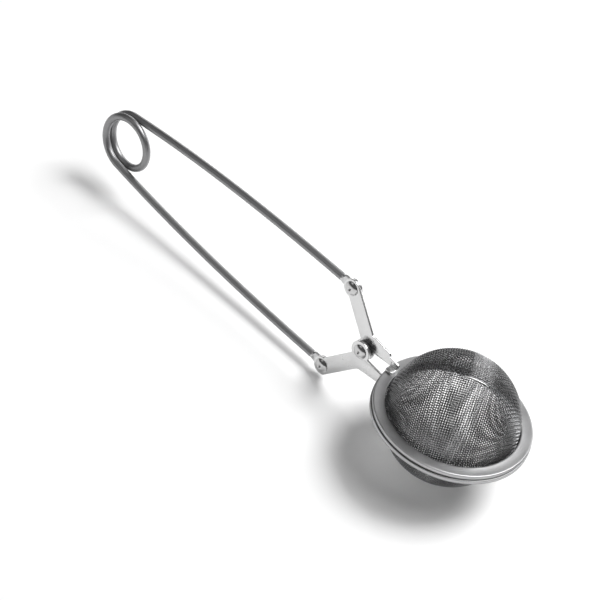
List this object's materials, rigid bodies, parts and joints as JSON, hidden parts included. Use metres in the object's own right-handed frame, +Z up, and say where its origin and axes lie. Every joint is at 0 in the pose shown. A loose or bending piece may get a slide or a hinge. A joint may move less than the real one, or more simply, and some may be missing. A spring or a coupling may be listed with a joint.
{
  "type": "tea infuser",
  "caption": "Mesh ball tea infuser in two hinged halves, opened by squeezing a sprung wire handle.",
  "frame": {"origin": "bottom centre of the bounding box, on the surface that the lower dome rests on", "axes": "+X from the handle's coil towards the ball, +Y along the pivots, +Z up through the ball's halves"},
  "size_m": [0.1849, 0.0506, 0.042],
  "materials": {
    "wire_steel": "polished drawn wire",
    "arm_steel": "bright tumbled stamping",
    "rim_steel": "satin",
    "mesh_steel": "plain woven cloth",
    "rivet_steel": "polished"
  },
  "bodies": {
    "lower_half": {"lower_arm": "arm_steel", "lower_rim": "rim_steel", "lower_mesh_dome": "mesh_steel", "pivot_rivet": "rivet_steel", "pivot_spacer": "rivet_steel", "lower_leg_rivet": "rivet_steel"},
    "upper_half": {"upper_arm": "arm_steel", "upper_rim": "rim_steel", "upper_mesh_dome": "mesh_steel", "upper_leg_rivet": "rivet_steel"},
    "lower_leg": {"handle_coil_and_lower_leg": "wire_steel"},
    "upper_leg": {"handle_upper_leg": "wire_steel"}
  },
  "joints": [
    {"name": "ball_opening", "type": "hinge", "parent": "lower_half", "child": "upper_half", "pos_m": [0.03188, -0.003, 0.021], "axis": [0, -1, 0], "range_deg": [0, 55], "stiffness_Nm_per_rad": 0.1, "springref_deg": -45.84},
    {"name": "lower_leg_turn", "type": "hinge", "parent": "lower_half", "child": "lower_leg", "pos_m": [0.02028, -0.0031, 0.0048], "axis": [0, -1, 0], "range_deg": [0, 31.4]},
    {"name": "coil_flex", "type": "hinge", "parent": "lower_leg", "child": "upper_leg", "pos_m": [-0.08182, -0.0015, 0.021], "axis": [0, 1, 0], "range_deg": [0, 7.75]}
  ],
  "couplings": [
    {"joint": "lower_leg_turn", "follows": "ball_opening", "ratio": 0.5704},
    {"joint": "coil_flex", "follows": "ball_opening", "ratio": 0.1408}
  ]
}
